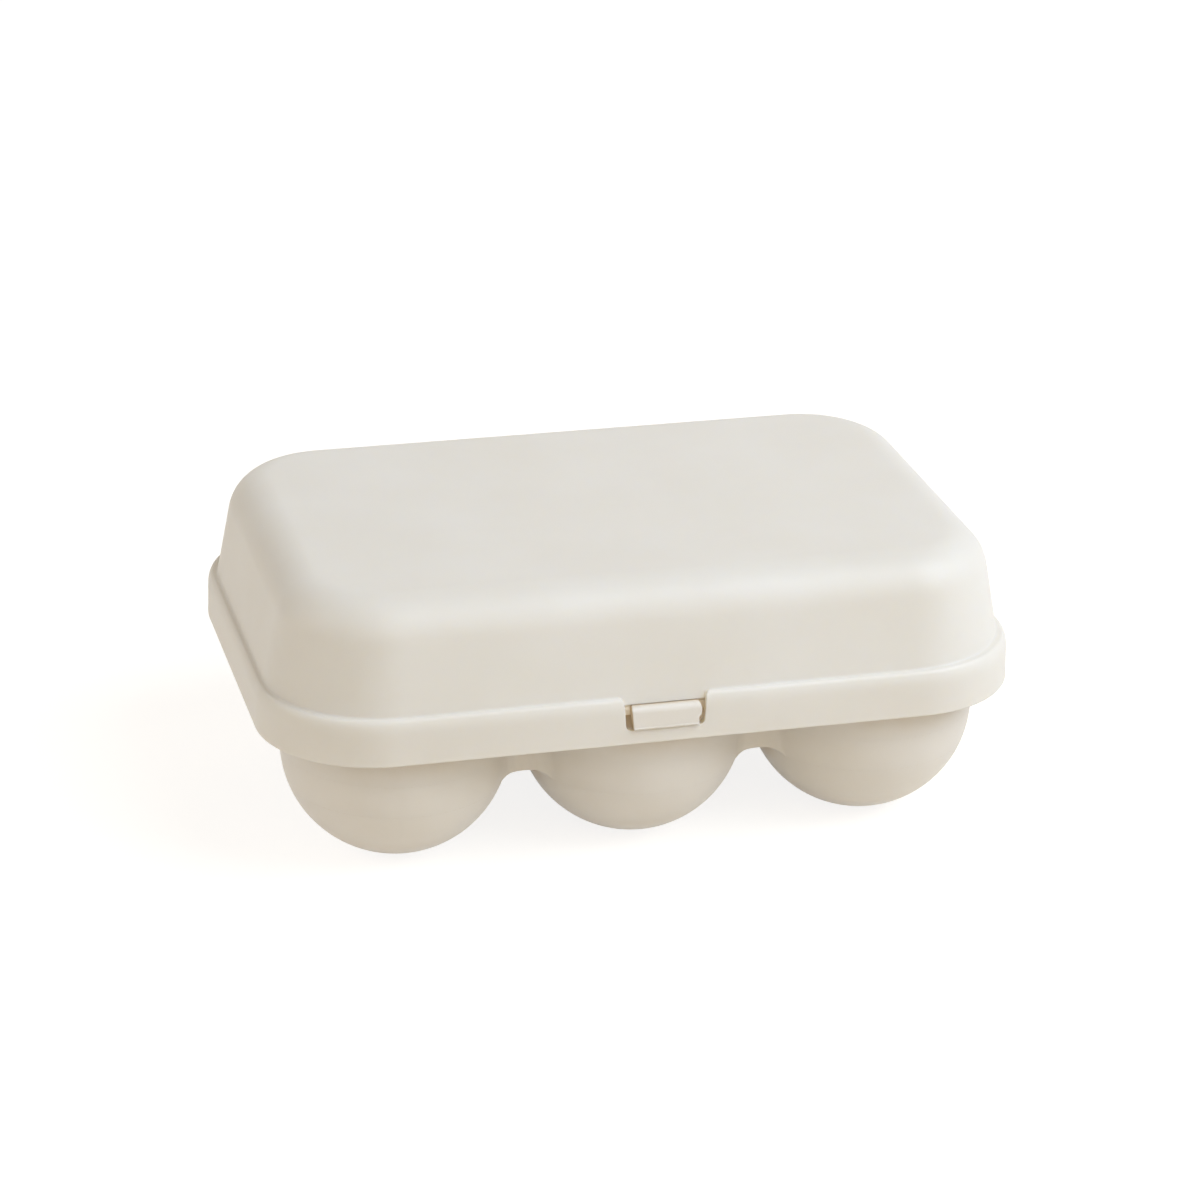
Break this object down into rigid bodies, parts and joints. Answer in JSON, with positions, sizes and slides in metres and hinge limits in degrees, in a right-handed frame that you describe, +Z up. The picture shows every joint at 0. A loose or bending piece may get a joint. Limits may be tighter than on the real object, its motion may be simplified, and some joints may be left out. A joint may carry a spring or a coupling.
{
  "type": "egg keeper",
  "caption": "Hinged storage box for eggs: ball-bottomed cups in a tray under a domed flip lid that snaps over a front catch.",
  "frame": {"origin": "on the table, under the middle of the closed keeper's bounding box", "axes": "+X along the keeper to its right end, -Y out of the front with the catch, +Z up"},
  "size_m": [0.156, 0.1116, 0.0613],
  "materials": {
    "lid_plastic": "fine matte, moulded polypropylene",
    "tray_plastic": "fine matte, moulded polypropylene"
  },
  "bodies": {
    "tray": {"tray_deck": "tray_plastic", "tray_wall": "tray_plastic", "tray_rim": "tray_plastic", "egg_cup_front_left": "tray_plastic", "egg_cup_front_middle": "tray_plastic", "egg_cup_front_right": "tray_plastic", "egg_cup_back_left": "tray_plastic", "egg_cup_back_middle": "tray_plastic", "egg_cup_back_right": "tray_plastic", "front_catch": "tray_plastic", "tray_hinge_bracket_left": "tray_plastic", "tray_hinge_bracket_right": "tray_plastic"},
    "lid": {"lid_shell": "lid_plastic", "lid_hinge_clip_left": "lid_plastic", "lid_hinge_clip_right": "lid_plastic"}
  },
  "joints": [
    {"name": "lid_hinge", "type": "hinge", "parent": "tray", "child": "lid", "pos_m": [0, 0.05266, 0.0287], "axis": [-1, 0, 0], "range_deg": [0, 150]}
  ]
}
